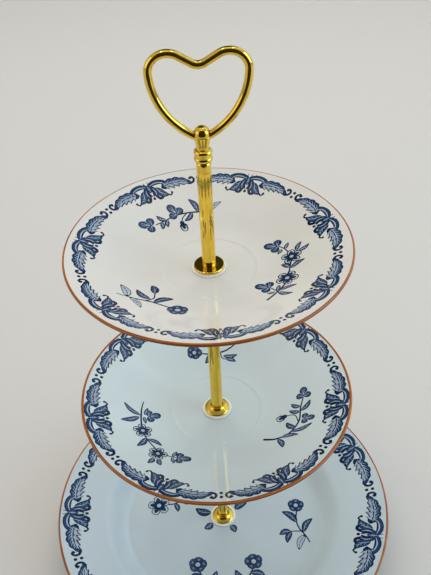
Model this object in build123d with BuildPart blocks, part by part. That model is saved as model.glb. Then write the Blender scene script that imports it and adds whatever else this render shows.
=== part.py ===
"""Three-tier cake stand: glazed saucers and a dinner plate threaded on a gilt spindle with a heart handle.

Millimetres, +Z up. The origin is on the table, under the spindle's axis. The heart stands in the XZ plane.
"""

import math
import os

from build123d import *

os.makedirs("parts", exist_ok=True)

# ---------------------------------------------------------------- driving dimensions
TOP_RADIUS = 77.5
TOP_DEPTH = 17.0
TOP_WELL_Z = 247.3
TOP_CUP_RING = 24.6
MIDDLE_RADIUS = 85.0
MIDDLE_DEPTH = 20.0
MIDDLE_WELL_Z = 130.5
MIDDLE_CUP_RING = 27.0
BOTTOM_RADIUS = 120.0
BOTTOM_DEPTH = 22.0
BOTTOM_WELL_Z = 7.5

# Saucers: a cup ring round the flat centre, then one easy curve out to the lip.
CUP_RING_WIDTH = 1.4
CUP_RING_STEP = 0.45
SAUCER_RIM_SLOPE = 0.27
SAUCER_FOOT_SHARE = 0.46

# Dinner plate: flat well, round shoulder, then a straight flange out to the lip.
WELL_FLAT_RADIUS = 70.0
SHOULDER_RADIUS = 87.0
SHOULDER_DROP = 8.5
BOTTOM_FOOT_RADIUS = 70.0

PLATE_CENTRE = 4.0
PLATE_EDGE = 2.1
LIP_ROUND = 0.9
FOOT_WIDTH = 4.5
SAUCER_FOOT_RECESS = 1.8
BOTTOM_FOOT_RECESS = 3.5
FOOT_ROUND = 0.8
PLATE_HOLE_RADIUS = 3.8

# Spindle
ROD_RADIUS = 3.7
ROD_BORE = 2.9
UPPER_ROD_TOP = 312.9
STUD_RADIUS = 2.0
THREAD_GAP = 0.06
THREAD_ENGAGEMENT = 7.7
INSERT_LENGTH = 14.0
SHANK_LENGTH = 9.0
CHAMFER = 0.5

# Flanges brazed to the rods' lower ends
DISC_RADIUS = 8.5
DISC_HEIGHT = 1.6
TRUMPET_RADIUS = 7.9
TRUMPET_HEIGHT = 3.4
TRUMPET_EDGE = 0.8
TRUMPET_NECK = 4.2
SEAT_DEPTH = 1.0

# Plastic washers: the upper ones have a spigot that centres the plate's hole.
WASHER_RADIUS = 9.3
WASHER_HEIGHT = 1.0
WASHER_SPIGOT_RADIUS = 3.75
WASHER_SPIGOT_LENGTH = 2.8
LOWER_WASHER_RADIUS = 7.8
WASHER_HOLE = 2.2

# Base screw under the dinner plate
BASE_PLASTIC_HEIGHT = 0.8
BASE_METAL_HEIGHT = 0.6
BASE_METAL_RADIUS = 7.0
SCREW_HEAD_RADIUS = 4.6
SCREW_HEAD_HEIGHT = 1.6
SCREW_ENGAGEMENT = 9.0
CROSS_WIDTH = 1.0
CROSS_LENGTH = 4.4
CROSS_DEPTH = 0.9

# Handle: ferrule with two beads, and a heart bent from round wire
WIRE_RADIUS = 2.0
BEAD_RADIUS = 1.45
BEAD_CENTRE_RADIUS = 3.2
LOWER_BEAD_Z = 2.6
UPPER_BEAD_Z = 6.2
WAIST_RADIUS = 3.05
WAIST_Z = 8.3
BARREL_RADIUS = 4.0
BARREL_TOP_Z = 15.6
DOME_RADIUS = 4.3
SPIGOT_LENGTH = 8.0
HEART_START_Z = 13.0
HEART_START_ANGLE = 24.0
HEART_SIDE_RADIUS = 38.1
HEART_SIDE_END_ANGLE = 88.0
HEART_LOBE_RADIUS = 9.0
HEART_LOBE_END_ANGLE = 211.0
HEART_NOTCH_RADIUS = 6.0
WIRE_END_GAP = 0.4


# ---------------------------------------------------------------- plates
def eased(t, end_slope):
    """Height from 0 to 1 of a curve that starts level and ends at end_slope."""
    return 3 * t**2 - 2 * t**3 + end_slope * (t**3 - t**2)


def saucer_section(radius, depth, well_z, ring_radius):
    """Half section of a saucer, from its hole out to its lip and back along the underside."""
    start = ring_radius + CUP_RING_WIDTH
    reach = radius - start
    climb = depth - CUP_RING_STEP
    end_slope = SAUCER_RIM_SLOPE * reach / climb
    foot = radius * SAUCER_FOOT_SHARE
    foot_z = well_z - PLATE_CENTRE - SAUCER_FOOT_RECESS

    def top(r):
        return well_z + CUP_RING_STEP + climb * eased((r - start) / reach, end_slope)

    def underside(r):
        return top(r) - PLATE_EDGE - (PLATE_CENTRE - PLATE_EDGE) * (radius - r) / (radius - foot)

    with BuildSketch(Plane.XZ) as section:
        with BuildLine():
            Line((PLATE_HOLE_RADIUS, well_z), (ring_radius, well_z))
            Line((ring_radius, well_z), (start, top(start)))
            Spline(*[(start + reach * k / 6, top(start + reach * k / 6)) for k in range(7)])
            Line((radius, top(radius)), (radius, underside(radius)))
            out = radius - foot
            Spline(*[(radius - out * k / 5, underside(radius - out * k / 5)) for k in range(6)])
            Polyline(
                (foot, underside(foot)),
                (foot, foot_z),
                (foot - FOOT_WIDTH, foot_z),
                (foot - FOOT_WIDTH, well_z - PLATE_CENTRE),
                (PLATE_HOLE_RADIUS, well_z - PLATE_CENTRE),
                (PLATE_HOLE_RADIUS, well_z),
            )
        make_face()
        fillet(section.vertices().group_by(Axis.X)[-1], radius=LIP_ROUND)
        fillet(section.vertices().group_by(Axis.Y)[0], radius=FOOT_ROUND)
    return section.sketch


def dinner_section(radius, depth, well_z):
    """Half section of the dinner plate, which stands on the table on its foot ring."""
    rim_z = well_z + depth
    shoulder_z = rim_z - SHOULDER_DROP
    flange_slope = SHOULDER_DROP / (radius - SHOULDER_RADIUS)
    reach = SHOULDER_RADIUS - WELL_FLAT_RADIUS
    climb = depth - SHOULDER_DROP
    foot = BOTTOM_FOOT_RADIUS

    def top(r):
        if r > SHOULDER_RADIUS:
            return shoulder_z + flange_slope * (r - SHOULDER_RADIUS)
        return well_z + climb * eased((r - WELL_FLAT_RADIUS) / reach, flange_slope * reach / climb)

    def underside(r):
        return top(r) - PLATE_EDGE - (PLATE_CENTRE - PLATE_EDGE) * (radius - r) / (radius - foot)

    with BuildSketch(Plane.XZ) as section:
        with BuildLine():
            Line((PLATE_HOLE_RADIUS, well_z), (WELL_FLAT_RADIUS, well_z))
            inner = [WELL_FLAT_RADIUS + reach * k / 5 for k in range(6)]
            Spline(*[(r, top(r)) for r in inner], tangents=((1, 0), (1, flange_slope)))
            Line((SHOULDER_RADIUS, shoulder_z), (radius, rim_z))
            Line((radius, rim_z), (radius, rim_z - PLATE_EDGE))
            Line((radius, rim_z - PLATE_EDGE), (SHOULDER_RADIUS, underside(SHOULDER_RADIUS)))
            outer = [SHOULDER_RADIUS - (SHOULDER_RADIUS - foot) * k / 4 for k in range(5)]
            Spline(*[(r, underside(r)) for r in outer])
            Polyline(
                (foot, underside(foot)),
                (foot, 0),
                (foot - FOOT_WIDTH, 0),
                (foot - FOOT_WIDTH, BOTTOM_FOOT_RECESS),
                (PLATE_HOLE_RADIUS, BOTTOM_FOOT_RECESS),
                (PLATE_HOLE_RADIUS, well_z),
            )
        make_face()
        fillet(section.vertices().group_by(Axis.X)[-1], radius=LIP_ROUND)
        fillet(section.vertices().group_by(Axis.Y)[0], radius=FOOT_ROUND)
    return section.sketch


with BuildPart() as top_plate:
    add(saucer_section(TOP_RADIUS, TOP_DEPTH, TOP_WELL_Z, TOP_CUP_RING))
    revolve(axis=Axis.Z)

with BuildPart() as middle_plate:
    add(saucer_section(MIDDLE_RADIUS, MIDDLE_DEPTH, MIDDLE_WELL_Z, MIDDLE_CUP_RING))
    revolve(axis=Axis.Z)

with BuildPart() as bottom_plate:
    add(dinner_section(BOTTOM_RADIUS, BOTTOM_DEPTH, BOTTOM_WELL_Z))
    revolve(axis=Axis.Z)


# ---------------------------------------------------------------- washers
def upper_washer(well_z):
    """Plastic washer between a plate and the flange above it, with a spigot down the plate's hole."""
    with BuildPart() as washer:
        with BuildSketch(Plane.XY.offset(well_z)):
            Circle(WASHER_RADIUS)
            Circle(WASHER_HOLE, mode=Mode.SUBTRACT)
        extrude(amount=WASHER_HEIGHT)
        fillet(washer.edges().group_by(Axis.Z)[-1].sort_by(SortBy.RADIUS)[-1], radius=0.4)
        with BuildSketch(Plane.XY.offset(well_z)):
            Circle(WASHER_SPIGOT_RADIUS)
            Circle(WASHER_HOLE, mode=Mode.SUBTRACT)
        extrude(amount=-WASHER_SPIGOT_LENGTH)
    return washer


def flat_washer(base_z, height, radius):
    """Flat ring washer that stands on base_z."""
    with BuildPart() as washer:
        with BuildSketch(Plane.XY.offset(base_z)):
            Circle(radius)
            Circle(WASHER_HOLE, mode=Mode.SUBTRACT)
        extrude(amount=height)
    return washer


top_upper_washer = upper_washer(TOP_WELL_Z)
middle_upper_washer = upper_washer(MIDDLE_WELL_Z)
bottom_upper_washer = upper_washer(BOTTOM_WELL_Z)

MIDDLE_ROD_TOP = TOP_WELL_Z - PLATE_CENTRE - WASHER_HEIGHT
LOWER_ROD_TOP = MIDDLE_WELL_Z - PLATE_CENTRE - WASHER_HEIGHT
BASE_PLASTIC_Z = BOTTOM_FOOT_RECESS - BASE_PLASTIC_HEIGHT
BASE_METAL_Z = BASE_PLASTIC_Z - BASE_METAL_HEIGHT

top_lower_washer = flat_washer(MIDDLE_ROD_TOP, WASHER_HEIGHT, LOWER_WASHER_RADIUS)
middle_lower_washer = flat_washer(LOWER_ROD_TOP, WASHER_HEIGHT, LOWER_WASHER_RADIUS)
bottom_lower_washer = flat_washer(BASE_PLASTIC_Z, BASE_PLASTIC_HEIGHT, WASHER_RADIUS)
base_metal_washer = flat_washer(BASE_METAL_Z, BASE_METAL_HEIGHT, BASE_METAL_RADIUS)


# ---------------------------------------------------------------- flanges, rods, studs and inserts
def trumpet_flange(base_z):
    """Flange with a concave flare, counterbored on top for the rod's end."""
    seat_z = base_z + TRUMPET_HEIGHT - SEAT_DEPTH
    with BuildPart() as flange:
        with BuildSketch(Plane.XZ):
            with BuildLine():
                Polyline(
                    (STUD_RADIUS, seat_z),
                    (STUD_RADIUS, base_z),
                    (TRUMPET_RADIUS, base_z),
                    (TRUMPET_RADIUS, base_z + TRUMPET_EDGE),
                )
                RadiusArc(
                    (TRUMPET_RADIUS, base_z + TRUMPET_EDGE),
                    (TRUMPET_NECK, base_z + TRUMPET_HEIGHT),
                    TRUMPET_RADIUS - TRUMPET_NECK + 1.0,
                )
                Polyline(
                    (TRUMPET_NECK, base_z + TRUMPET_HEIGHT),
                    (ROD_RADIUS, base_z + TRUMPET_HEIGHT),
                    (ROD_RADIUS, seat_z),
                    (STUD_RADIUS, seat_z),
                )
            make_face()
        revolve(axis=Axis.Z)
    return flange


def rod(bottom_z, top_z):
    """Drawn tube between two heights."""
    with BuildPart() as tube:
        with BuildSketch(Plane.XY.offset(bottom_z)):
            Circle(ROD_RADIUS)
            Circle(ROD_BORE, mode=Mode.SUBTRACT)
        extrude(amount=top_z - bottom_z)
    return tube


def stud(rod_bottom_z, tip_z):
    """Stud pressed into a rod's lower end: a plain shank inside and a thread below."""
    with BuildPart() as pin:
        with BuildSketch(Plane.XY.offset(rod_bottom_z)):
            Circle(ROD_BORE)
        extrude(amount=SHANK_LENGTH)
        with BuildSketch(Plane.XY.offset(rod_bottom_z)):
            Circle(STUD_RADIUS)
        extrude(amount=tip_z - rod_bottom_z)
        chamfer(pin.edges().group_by(Axis.Z)[0], length=CHAMFER)
    return pin


def insert(mouth_z, inward):
    """Tapped bush pressed into a rod's end, running from its mouth inward (+1 up, -1 down)."""
    with BuildPart() as bush:
        with BuildSketch(Plane.XY.offset(mouth_z)):
            Circle(ROD_BORE)
            Circle(STUD_RADIUS + THREAD_GAP, mode=Mode.SUBTRACT)
        extrude(amount=inward * INSERT_LENGTH)
    return bush


UPPER_FLANGE_Z = TOP_WELL_Z + WASHER_HEIGHT
MIDDLE_FLANGE_Z = MIDDLE_WELL_Z + WASHER_HEIGHT
LOWER_FLANGE_Z = BOTTOM_WELL_Z + WASHER_HEIGHT
UPPER_ROD_BOTTOM = UPPER_FLANGE_Z + DISC_HEIGHT - SEAT_DEPTH
MIDDLE_ROD_BOTTOM = MIDDLE_FLANGE_Z + TRUMPET_HEIGHT - SEAT_DEPTH
LOWER_ROD_BOTTOM = LOWER_FLANGE_Z + TRUMPET_HEIGHT - SEAT_DEPTH

with BuildPart() as upper_rod_flange:
    with BuildSketch(Plane.XY.offset(UPPER_FLANGE_Z)):
        Circle(DISC_RADIUS)
        Circle(STUD_RADIUS, mode=Mode.SUBTRACT)
    extrude(amount=DISC_HEIGHT)
    fillet(upper_rod_flange.edges().group_by(Axis.Z)[-1].sort_by(SortBy.RADIUS)[-1], radius=0.7)
    with BuildSketch(Plane.XY.offset(UPPER_ROD_BOTTOM)):
        Circle(ROD_RADIUS)
    extrude(amount=DISC_HEIGHT, mode=Mode.SUBTRACT)

middle_rod_flange = trumpet_flange(MIDDLE_FLANGE_Z)
lower_rod_flange = trumpet_flange(LOWER_FLANGE_Z)
upper_rod = rod(UPPER_ROD_BOTTOM, UPPER_ROD_TOP)
middle_rod = rod(MIDDLE_ROD_BOTTOM, MIDDLE_ROD_TOP)
lower_rod = rod(LOWER_ROD_BOTTOM, LOWER_ROD_TOP)
upper_rod_stud = stud(UPPER_ROD_BOTTOM, MIDDLE_ROD_TOP - THREAD_ENGAGEMENT)
middle_rod_stud = stud(MIDDLE_ROD_BOTTOM, LOWER_ROD_TOP - THREAD_ENGAGEMENT)
middle_rod_insert = insert(MIDDLE_ROD_TOP, -1)
lower_rod_top_insert = insert(LOWER_ROD_TOP, -1)
lower_rod_bottom_insert = insert(LOWER_ROD_BOTTOM, 1)

with BuildPart() as base_screw:
    with BuildSketch(Plane.XY.offset(BASE_METAL_Z)):
        Circle(SCREW_HEAD_RADIUS)
    extrude(amount=-SCREW_HEAD_HEIGHT)
    fillet(base_screw.edges().group_by(Axis.Z)[0], radius=SCREW_HEAD_HEIGHT * 0.6)
    with BuildSketch(Plane.XY.offset(BASE_METAL_Z - SCREW_HEAD_HEIGHT)):
        Rectangle(CROSS_LENGTH, CROSS_WIDTH)
        Rectangle(CROSS_WIDTH, CROSS_LENGTH)
    extrude(amount=CROSS_DEPTH, mode=Mode.SUBTRACT)
    with BuildSketch(Plane.XY.offset(BASE_METAL_Z)):
        Circle(STUD_RADIUS)
    extrude(amount=LOWER_ROD_BOTTOM - BASE_METAL_Z + SCREW_ENGAGEMENT)
    chamfer(base_screw.edges().group_by(Axis.Z)[-1], length=CHAMFER)

# ---------------------------------------------------------------- heart handle
HEART_BASE_Z = UPPER_ROD_TOP + HEART_START_Z


def half_heart():
    """Right half of the wire's centre line, from inside the ferrule up to the notch."""
    start_angle = math.radians(HEART_START_ANGLE)
    direction = (math.cos(start_angle), 0, math.sin(start_angle))
    start = Vector(0, 0, HEART_BASE_Z) + Vector(*direction) * WIRE_END_GAP
    side_turn = HEART_SIDE_END_ANGLE - HEART_START_ANGLE
    lobe_turn = HEART_LOBE_END_ANGLE - HEART_SIDE_END_ANGLE
    notch_turn = HEART_LOBE_END_ANGLE - 180
    with BuildLine(Plane.XZ) as half:
        side = JernArc((start.X, start.Z), (direction[0], direction[2]), HEART_SIDE_RADIUS, side_turn)
        lobe = JernArc(side @ 1, side % 1, HEART_LOBE_RADIUS, lobe_turn)
        # The straight run stops where the notch's arc brings the wire level on the mirror plane.
        notch_reach = HEART_NOTCH_RADIUS * math.sin(math.radians(notch_turn))
        run = ((lobe @ 1).X - notch_reach) / math.cos(math.radians(notch_turn))
        slope = Line(lobe @ 1, (lobe @ 1) + (lobe % 1) * run)
        JernArc(slope @ 1, slope % 1, HEART_NOTCH_RADIUS, -notch_turn)
    return half.line


with BuildPart() as heart_loop:
    with BuildLine() as centre_line:
        add(half_heart())
    with BuildSketch(Plane(origin=centre_line.line @ 0, z_dir=centre_line.line % 0)):
        Circle(WIRE_RADIUS)
    sweep(path=centre_line.line)
    mirror(about=Plane.YZ)

with BuildPart() as handle_ferrule:
    with BuildSketch(Plane.XZ):
        with BuildLine():
            Polyline(
                (0, UPPER_ROD_TOP - SPIGOT_LENGTH),
                (ROD_BORE, UPPER_ROD_TOP - SPIGOT_LENGTH),
                (ROD_BORE, UPPER_ROD_TOP),
                (ROD_RADIUS, UPPER_ROD_TOP),
                (BEAD_CENTRE_RADIUS, UPPER_ROD_TOP + LOWER_BEAD_Z - BEAD_RADIUS),
                (BEAD_CENTRE_RADIUS, UPPER_ROD_TOP + UPPER_BEAD_Z + BEAD_RADIUS),
                (WAIST_RADIUS, UPPER_ROD_TOP + WAIST_Z),
                (BARREL_RADIUS, UPPER_ROD_TOP + BARREL_TOP_Z),
                (0, UPPER_ROD_TOP + BARREL_TOP_Z),
                (0, UPPER_ROD_TOP - SPIGOT_LENGTH),
            )
        make_face()
        with Locations(
            (BEAD_CENTRE_RADIUS, UPPER_ROD_TOP + LOWER_BEAD_Z),
            (BEAD_CENTRE_RADIUS, UPPER_ROD_TOP + UPPER_BEAD_Z),
        ):
            Circle(BEAD_RADIUS)
    revolve(axis=Axis.Z)
    with Locations((0, 0, UPPER_ROD_TOP + BARREL_TOP_Z)):
        Sphere(DOME_RADIUS, arc_size1=0)
    # The wire's ends sit in a bent cross hole of their own size.
    add(heart_loop.part, mode=Mode.SUBTRACT)

# ---------------------------------------------------------------- one file for each piece
PIECES = {
    "heart_loop": heart_loop,
    "handle_ferrule": handle_ferrule,
    "upper_rod": upper_rod,
    "upper_rod_flange": upper_rod_flange,
    "upper_rod_stud": upper_rod_stud,
    "top_upper_washer": top_upper_washer,
    "top_plate": top_plate,
    "top_lower_washer": top_lower_washer,
    "middle_rod": middle_rod,
    "middle_rod_insert": middle_rod_insert,
    "middle_rod_flange": middle_rod_flange,
    "middle_rod_stud": middle_rod_stud,
    "middle_upper_washer": middle_upper_washer,
    "middle_plate": middle_plate,
    "middle_lower_washer": middle_lower_washer,
    "lower_rod": lower_rod,
    "lower_rod_top_insert": lower_rod_top_insert,
    "lower_rod_bottom_insert": lower_rod_bottom_insert,
    "lower_rod_flange": lower_rod_flange,
    "bottom_upper_washer": bottom_upper_washer,
    "bottom_plate": bottom_plate,
    "bottom_lower_washer": bottom_lower_washer,
    "base_metal_washer": base_metal_washer,
    "base_screw": base_screw,
}
for name, piece in PIECES.items():
    piece.part.label = name
    export_step(piece.part, f"parts/{name}.step")
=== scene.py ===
import math

import bmesh
import bpy
import numpy as np
from mathutils import Matrix, Vector, noise


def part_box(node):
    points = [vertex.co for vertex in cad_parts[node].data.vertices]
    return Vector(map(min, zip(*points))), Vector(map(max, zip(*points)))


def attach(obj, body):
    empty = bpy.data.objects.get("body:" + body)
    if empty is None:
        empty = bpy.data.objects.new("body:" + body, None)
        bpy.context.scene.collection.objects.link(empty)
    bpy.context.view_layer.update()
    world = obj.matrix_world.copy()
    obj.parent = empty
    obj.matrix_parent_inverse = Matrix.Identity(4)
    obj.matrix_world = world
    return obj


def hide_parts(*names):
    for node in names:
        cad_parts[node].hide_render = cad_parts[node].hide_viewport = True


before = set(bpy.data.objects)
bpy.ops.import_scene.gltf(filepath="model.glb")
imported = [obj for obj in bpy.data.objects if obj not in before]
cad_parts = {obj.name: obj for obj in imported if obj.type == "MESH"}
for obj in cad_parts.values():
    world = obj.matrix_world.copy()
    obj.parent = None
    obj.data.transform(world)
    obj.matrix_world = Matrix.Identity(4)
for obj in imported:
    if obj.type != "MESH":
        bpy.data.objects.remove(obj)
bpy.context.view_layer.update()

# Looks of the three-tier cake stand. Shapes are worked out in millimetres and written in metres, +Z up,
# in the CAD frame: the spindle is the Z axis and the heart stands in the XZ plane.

MM = 0.001


def extent(node):
    """Bottom, top and radius of a round CAD node, in millimetres."""
    low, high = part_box(node)
    return low[2] / MM, high[2] / MM, high[0] / MM


# ================================================================ plate shapes
# In millimetres. Thickness, depths, wells and feet are those of the CAD plates.
EDGE_THICKNESS = 2.1
CENTRE_THICKNESS = 4.0
HOLE_RADIUS = 3.8
HOLE_ROUND = 0.35
FOOT_WIDTH = 4.5
FOOT_ROUND = 0.8
FOOT_FLARE = 1.2
HOLLOW_ROUND = 0.6
FLAT_FROM = 8
RIM_SEED = 7.3
LIP_REACH = 1.1
RIM_BAND = 0.05
RING_WIDTH = 2.2
RING_STEP = 0.45
SAUCER_RIM_SLOPE = 0.27
SAUCER_FOOT_RECESS = 1.8
SAUCER_FOOT_SHARE = 0.46
WELL_FLAT_RADIUS = 70.0
SHOULDER_RADIUS = 87.0
SHOULDER_DROP = 8.5
DINNER_FOOT_RADIUS = 70.0
DINNER_FOOT_RECESS = 3.5
SAG_FROM = 0.62
PLATE_SEGMENTS = 256


def eased(t, end_slope):
    """Height from 0 to 1 of a curve that starts level and ends at end_slope."""
    return 3 * t**2 - 2 * t**3 + end_slope * (t**3 - t**2)


def smoothstep(t):
    t = np.clip(t, 0, 1)
    return t * t * (3 - 2 * t)


class Saucer:
    """A saucer with a cup ring round its flat centre and one easy curve out to the lip."""

    recess = SAUCER_FOOT_RECESS

    def __init__(self, node, depth, ring_radius, warp):
        self.node = node
        self.foot_z, _, self.rim_radius = extent(node)
        self.radius = self.rim_radius - RIM_BAND
        self.well_z = self.foot_z + self.recess + CENTRE_THICKNESS
        self.foot = self.rim_radius * SAUCER_FOOT_SHARE
        self.depth = depth
        self.ring_radius = ring_radius
        self.warp = warp

    def top(self, r):
        """Height of the upper face at radius r."""
        start = self.ring_radius + RING_WIDTH
        reach = self.rim_radius - start
        climb = self.depth - RING_STEP
        end_slope = SAUCER_RIM_SLOPE * reach / climb
        step = RING_STEP * smoothstep((r - self.ring_radius) / RING_WIDTH)
        t = np.clip((r - start) / reach, 0, 1)
        return self.well_z + step + climb * eased(t, end_slope)

    def underside(self, r):
        taper = (CENTRE_THICKNESS - EDGE_THICKNESS) * (self.rim_radius - r) / (self.rim_radius - self.foot)
        return self.top(r) - EDGE_THICKNESS - taper

    def sag(self, r, angle):
        """How far the fired plate drops below its true shape, only near the rim."""
        amount, lobes, phase = self.warp
        wave = 0.5 + 0.5 * np.sin(lobes * angle + phase)
        return amount * wave * smoothstep((r / self.rim_radius - SAG_FROM) / (1 - SAG_FROM))


class DinnerPlate(Saucer):
    """A dinner plate: flat well, round shoulder and a straight flange out to the lip."""

    recess = DINNER_FOOT_RECESS

    def __init__(self, node, depth, warp):
        super().__init__(node, depth, WELL_FLAT_RADIUS, warp)
        self.foot = DINNER_FOOT_RADIUS

    def top(self, r):
        flange_slope = SHOULDER_DROP / (self.rim_radius - SHOULDER_RADIUS)
        reach = SHOULDER_RADIUS - WELL_FLAT_RADIUS
        climb = self.depth - SHOULDER_DROP
        t = np.clip((r - WELL_FLAT_RADIUS) / reach, 0, 1)
        curve = self.well_z + climb * eased(t, flange_slope * reach / climb)
        flange = self.well_z + climb + flange_slope * (r - SHOULDER_RADIUS)
        return np.where(np.asarray(r) > SHOULDER_RADIUS, flange, curve)


TOP = Saucer("top_plate", 17.0, 24.6, warp=(0.25, 2, 0.7))
MIDDLE = Saucer("middle_plate", 20.0, 27.0, warp=(0.3, 3, 2.1))
BOTTOM = DinnerPlate("bottom_plate", 22.0, warp=(0.3, 2, 4.0))


# ================================================================ mesh helpers
def mesh_object(name, vertices, faces, smooth_angle=35):
    """A mesh object from points in millimetres, with normals outward and hard edges kept sharp."""
    mesh = bpy.data.meshes.new(name)
    mesh.from_pydata((np.asarray(vertices) * MM).tolist(), [], faces)
    work = bmesh.new()
    work.from_mesh(mesh)
    bmesh.ops.recalc_face_normals(work, faces=work.faces)
    work.to_mesh(mesh)
    work.free()
    mesh.shade_smooth()
    mesh.set_sharp_from_angle(angle=math.radians(smooth_angle))
    piece = bpy.data.objects.new(name, mesh)
    bpy.context.scene.collection.objects.link(piece)
    return piece


def revolve(name, profile, segments=128, sag=None, smooth_angle=35):
    """Turns a closed profile of (radius, height) points about Z. Points on the axis become one vertex."""
    profile = np.asarray(profile, float)
    angles = np.arange(segments) * 2 * math.pi / segments
    vertices, rings = [], []
    for r, z in profile:
        if r < 1e-6:
            rings.append([len(vertices)] * segments)
            vertices.append((0, 0, z))
            continue
        drop = sag(r, angles) if sag else np.zeros(segments)
        rings.append(list(range(len(vertices), len(vertices) + segments)))
        vertices += zip(r * np.cos(angles), r * np.sin(angles), z - drop)
    faces = []
    for a, b in zip(rings, rings[1:] + rings[:1]):
        if a[0] == a[1] and b[0] == b[1]:
            continue
        for k in range(segments):
            n = (k + 1) % segments
            corners = dict.fromkeys((a[k], a[n], b[n], b[k]))
            faces.append(tuple(corners))
    return mesh_object(name, vertices, faces, smooth_angle)


def tube_faces(rows, columns, closed=False):
    """Quads between rows of points that each run once round; closed joins the last row to the first."""
    faces = []
    for i in range(rows if closed else rows - 1):
        here, there = i * columns, (i + 1) % rows * columns
        for k in range(columns):
            n = (k + 1) % columns
            faces.append((here + k, here + n, there + n, there + k))
    return faces


def fan_faces(centre, first, columns):
    """Triangles from one point to a ring whose points start at first."""
    return [(centre, first + k, first + (k + 1) % columns) for k in range(columns)]


def arc(centre, radius, start, end, steps):
    """Points of a circular arc, from one angle in degrees to another."""
    turns = np.radians(np.linspace(start, end, steps + 1))
    return np.column_stack([centre[0] + radius * np.cos(turns), centre[1] + radius * np.sin(turns)])


def smooth_curve(points, count):
    """Evenly spaced points on a smooth curve through the given ones."""
    p = np.asarray(points, float)
    p = np.vstack([2 * p[0] - p[1], p, 2 * p[-1] - p[-2]])
    t = np.linspace(0, 1, 12, endpoint=False)[:, None]
    fine = []
    for a, b, c, d in zip(p, p[1:], p[2:], p[3:]):
        square, cubic = 2 * a - 5 * b + 4 * c - d, 3 * b - a - 3 * c + d
        fine.append(0.5 * (2 * b + (c - a) * t + square * t**2 + cubic * t**3))
    fine = np.vstack([*fine, p[-2]])
    run = np.concatenate([[0], np.cumsum(np.linalg.norm(np.diff(fine, axis=0), axis=1))])
    at = np.linspace(0, run[-1], count)
    return np.column_stack([np.interp(at, run, fine[:, k]) for k in range(p.shape[1])])


def dress(piece, material, body, slot, *replaced):
    """Gives a piece its material, hangs it under its body and hides the CAD parts it replaces."""
    piece.data.materials.append(material)
    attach(piece, body)
    if replaced:
        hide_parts(*replaced)
    return piece


# ================================================================ materials
class Nodes:
    """A node tree with short calls for the nodes that the finishes and the sky share."""

    def __init__(self, owner, coordinates):
        owner.use_nodes = True
        self.tree = owner.node_tree
        self.place = self.new("TexCoord").outputs[coordinates]

    def feed(self, value, socket):
        """Links a socket, or sets it to a number, vector or colour."""
        if isinstance(value, tuple):
            socket.default_value = (*value, 1)[:len(socket.default_value)]
        elif isinstance(value, (int, float)):
            socket.default_value = value
        else:
            self.tree.links.new(value, socket)

    def new(self, kind, inputs=(), **settings):
        """A node with these settings, and with its inputs fed by name or place."""
        node = self.tree.nodes.new("ShaderNode" + kind)
        for name, value in settings.items():
            setattr(node, name, value)
        for name, value in dict(inputs).items():
            self.feed(value, node.inputs[name])
        return node

    def noise(self, scale, detail, stretch=None, distortion=0.0):
        place = self.place
        if stretch:
            place = self.new("Mapping", {"Vector": place, "Scale": stretch}).outputs["Vector"]
        inputs = {"Vector": place, "Scale": scale, "Detail": detail, "Roughness": 0.55}
        return self.new("TexNoise", {**inputs, "Distortion": distortion}).outputs["Fac"]

    def cells(self, scale):
        return self.new("TexVoronoi", {"Vector": self.place, "Scale": scale}).outputs["Distance"]

    def ramp(self, value, *stops):
        """Colour ramp with (position, grey or colour) stops."""
        node = self.new("ValToRGB", {"Fac": value})
        elements = node.color_ramp.elements
        while len(elements) < len(stops):
            elements.new(0.5)
        for element, (position, colour) in zip(elements, stops):
            element.position = position
            rgb = (colour,) * 3 if isinstance(colour, (int, float)) else colour
            element.color = (*rgb, 1)
        return node.outputs["Color"]

    def math(self, operation, a, b=None):
        inputs = {0: a} if b is None else {0: a, 1: b}
        return self.new("Math", inputs, operation=operation).outputs["Value"]

    def mix(self, factor, a, b, blend="MIX"):
        inputs = {"Factor": factor, "A": a, "B": b}
        return self.new("Mix", inputs, data_type="RGBA", blend_type=blend).outputs["Result"]

    def polar(self):
        """Radius and angle about Z of the shaded point, and its height."""
        x, y, z = self.new("SeparateXYZ", {"Vector": self.place}).outputs
        square = self.math("ADD", self.math("MULTIPLY", x, x), self.math("MULTIPLY", y, y))
        return self.math("SQRT", square), self.math("ARCTAN2", y, x), z


class Finish(Nodes):
    """A material, with calls for its Principled shader."""

    def __init__(self, name):
        self.material = bpy.data.materials.new(name)
        super().__init__(self.material, "Object")
        self.shader = self.tree.nodes["Principled BSDF"]

    def set(self, **values):
        """Sets the shader's own sockets, with _ for a space in their names."""
        for key, value in values.items():
            self.feed(value, self.shader.inputs[key.replace("_", " ")])

    def bump(self, *layers):
        """Chains bumps of (height, strength, distance in metres) onto the shader."""
        before = {}
        for height, strength, distance in layers:
            inputs = {"Height": height, "Strength": strength, "Distance": distance}
            before = {"Normal": self.new("Bump", {**inputs, **before}).outputs["Normal"]}
        self.set(**before)

    def colour(self, socket):
        self.set(Base_Color=socket)

    def roughness(self, socket):
        self.set(Roughness=socket)


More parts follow.
